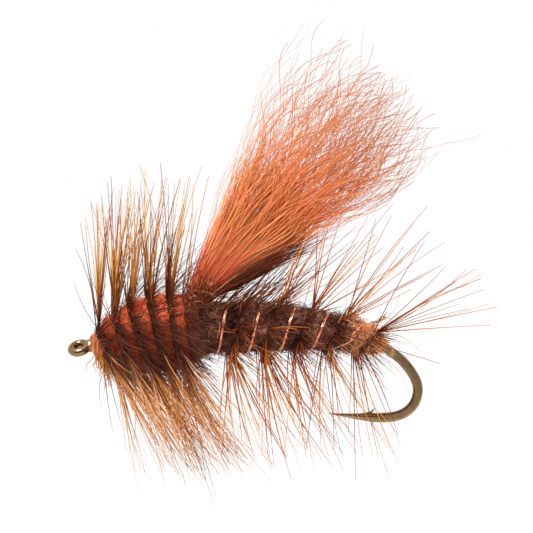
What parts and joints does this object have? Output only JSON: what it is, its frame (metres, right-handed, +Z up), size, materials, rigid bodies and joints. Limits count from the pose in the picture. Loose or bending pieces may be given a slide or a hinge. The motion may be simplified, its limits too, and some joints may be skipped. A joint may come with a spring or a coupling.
{
  "type": "dry fly",
  "caption": "Palmered dry fly on a curved long-shank hook, with a ribbed fuzzy abdomen, a swept-back hair wing and a full front hackle.",
  "frame": {"origin": "centre of the hook eye's ring", "axes": "+X along the shank from the eye to the bend, +Z up through the wing, +Y across the fly to its far side"},
  "size_m": [0.0362, 0.0274, 0.037],
  "materials": {
    "hook_bronze": "bronzed, smooth, glossy",
    "rust_thread": "waxed nylon thread, slight sheen",
    "gold_dubbing": "fuzzy",
    "orange_dubbing": "fuzzy",
    "brown_dubbing": "fuzzy",
    "copper_wire": "bright copper",
    "quill_dark": "satin feather quill",
    "quill_ginger": "satin feather quill",
    "barbs_body": "stiff feather barbs, satin",
    "barbs_front": "stiff feather barbs, satin",
    "wing_orange": "dyed hair, soft sheen",
    "wing_dark": "dark hair, soft sheen"
  },
  "bodies": {
    "root": {"hook": "hook_bronze", "thread_base": "rust_thread", "head_thread": "rust_thread", "head_wraps": "rust_thread", "throat_dubbing": "gold_dubbing", "thorax_dubbing": "orange_dubbing", "wing_binding": "rust_thread", "abdomen_dubbing": "brown_dubbing", "tag_dubbing": "gold_dubbing", "wing_hair": "wing_orange", "underwing_hair": "wing_dark", "copper_rib": "copper_wire", "body_hackle_quill": "quill_dark", "body_hackle_tip": "quill_ginger", "front_quill_ginger": "quill_ginger", "front_quill_dark": "quill_dark", "front_hackle_turn_1": "barbs_front", "front_hackle_turn_2": "barbs_front", "front_hackle_turn_3": "barbs_front", "front_hackle_turn_4": "barbs_front", "front_hackle_turn_5": "barbs_front", "body_hackle_turn_1": "barbs_body", "body_hackle_turn_2": "barbs_body", "body_hackle_turn_3": "barbs_body", "body_hackle_turn_4": "barbs_body", "body_hackle_turn_5": "barbs_body"}
  },
  "joints": []
}
